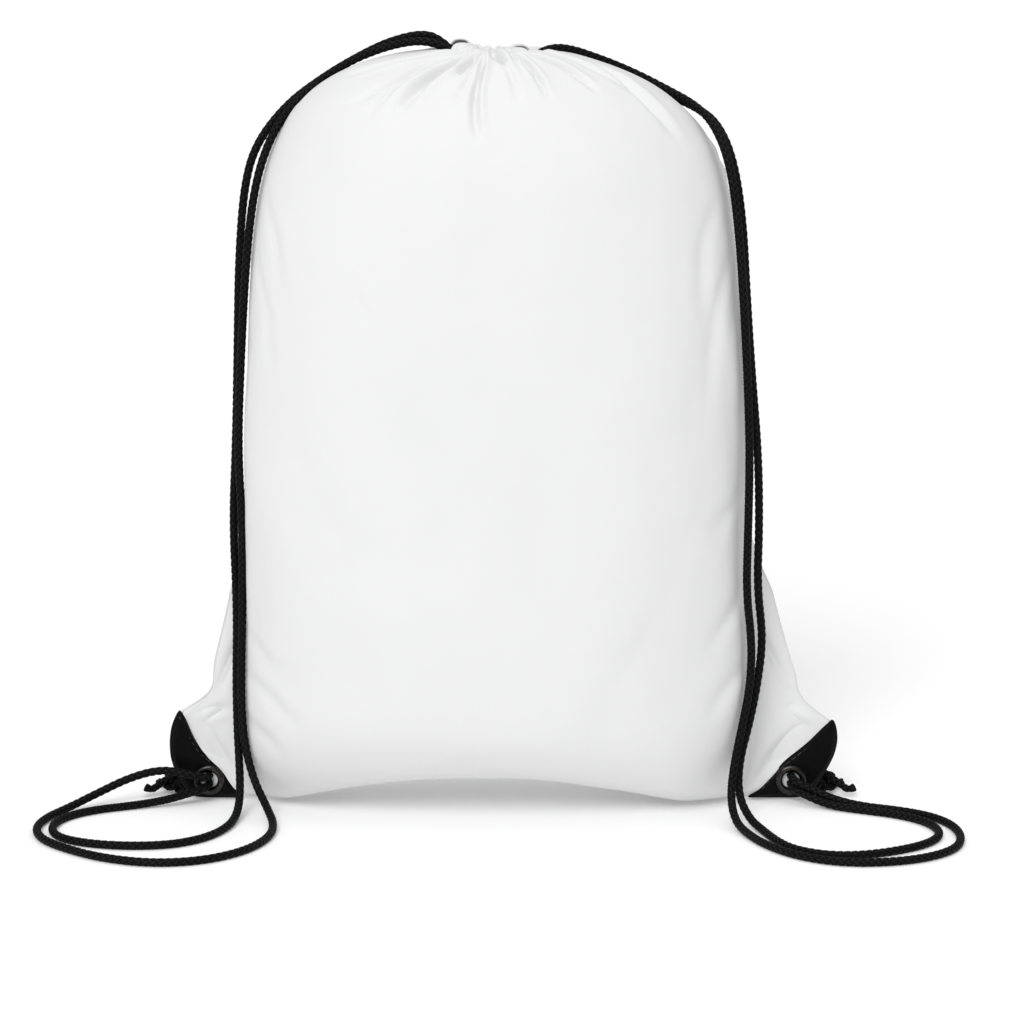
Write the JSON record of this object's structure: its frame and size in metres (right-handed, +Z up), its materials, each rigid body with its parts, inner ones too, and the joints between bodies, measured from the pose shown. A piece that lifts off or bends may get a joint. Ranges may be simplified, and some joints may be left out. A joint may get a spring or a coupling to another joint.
{
  "type": "drawstring backpack",
  "caption": "Stuffed white cloth drawstring backpack with cinched mouth, black braided cords as shoulder straps, black corner patches and metal eyelets.",
  "frame": {"origin": "middle of the bag's base, on the surface it stands on", "axes": "+Z up through the mouth, -Y out of the front panel, +X towards the right-hand eyelet as the front is seen; the side seams lie in the plane y = 0"},
  "size_m": [0.4694, 0.1983, 0.3985],
  "materials": {
    "bag_cloth": "smooth plain-weave polyester with a faint sheen",
    "cord_braid": "round braid with a soft sheen",
    "corner_patch": "coated imitation leather, fine grain, satin",
    "eyelet_metal": "polished dark nickel",
    "black_thread": "twisted thread",
    "white_thread": "twisted thread"
  },
  "bodies": {
    "bag": {"back_channel_stitching": "white_thread", "back_cord_channel": "bag_cloth", "back_panel": "bag_cloth", "bottom_seam": "bag_cloth", "front_channel_stitching": "white_thread", "front_cord_channel": "bag_cloth", "front_panel": "bag_cloth", "left_cord": "cord_braid", "left_corner_patch": "corner_patch", "left_eyelet": "eyelet_metal", "left_eyelet_washer": "eyelet_metal", "left_patch_stitching": "black_thread", "left_side_seam": "bag_cloth", "right_cord": "cord_braid", "right_corner_patch": "corner_patch", "right_eyelet": "eyelet_metal", "right_eyelet_washer": "eyelet_metal", "right_patch_stitching": "black_thread", "right_side_seam": "bag_cloth"},
    "left_knot": {"left_knot": "cord_braid"},
    "right_knot": {"right_knot": "cord_braid"}
  },
  "joints": [
    {"name": "left_knot_pull", "type": "slide", "parent": "bag", "child": "left_knot", "axis": [-0.9707, 0.2402, 0], "range_m": [-0.003, 0.012], "deforming": ["left_cord"]},
    {"name": "right_knot_pull", "type": "slide", "parent": "bag", "child": "right_knot", "axis": [0.9707, 0.2402, 0], "range_m": [-0.003, 0.012], "deforming": ["right_cord"]}
  ]
}
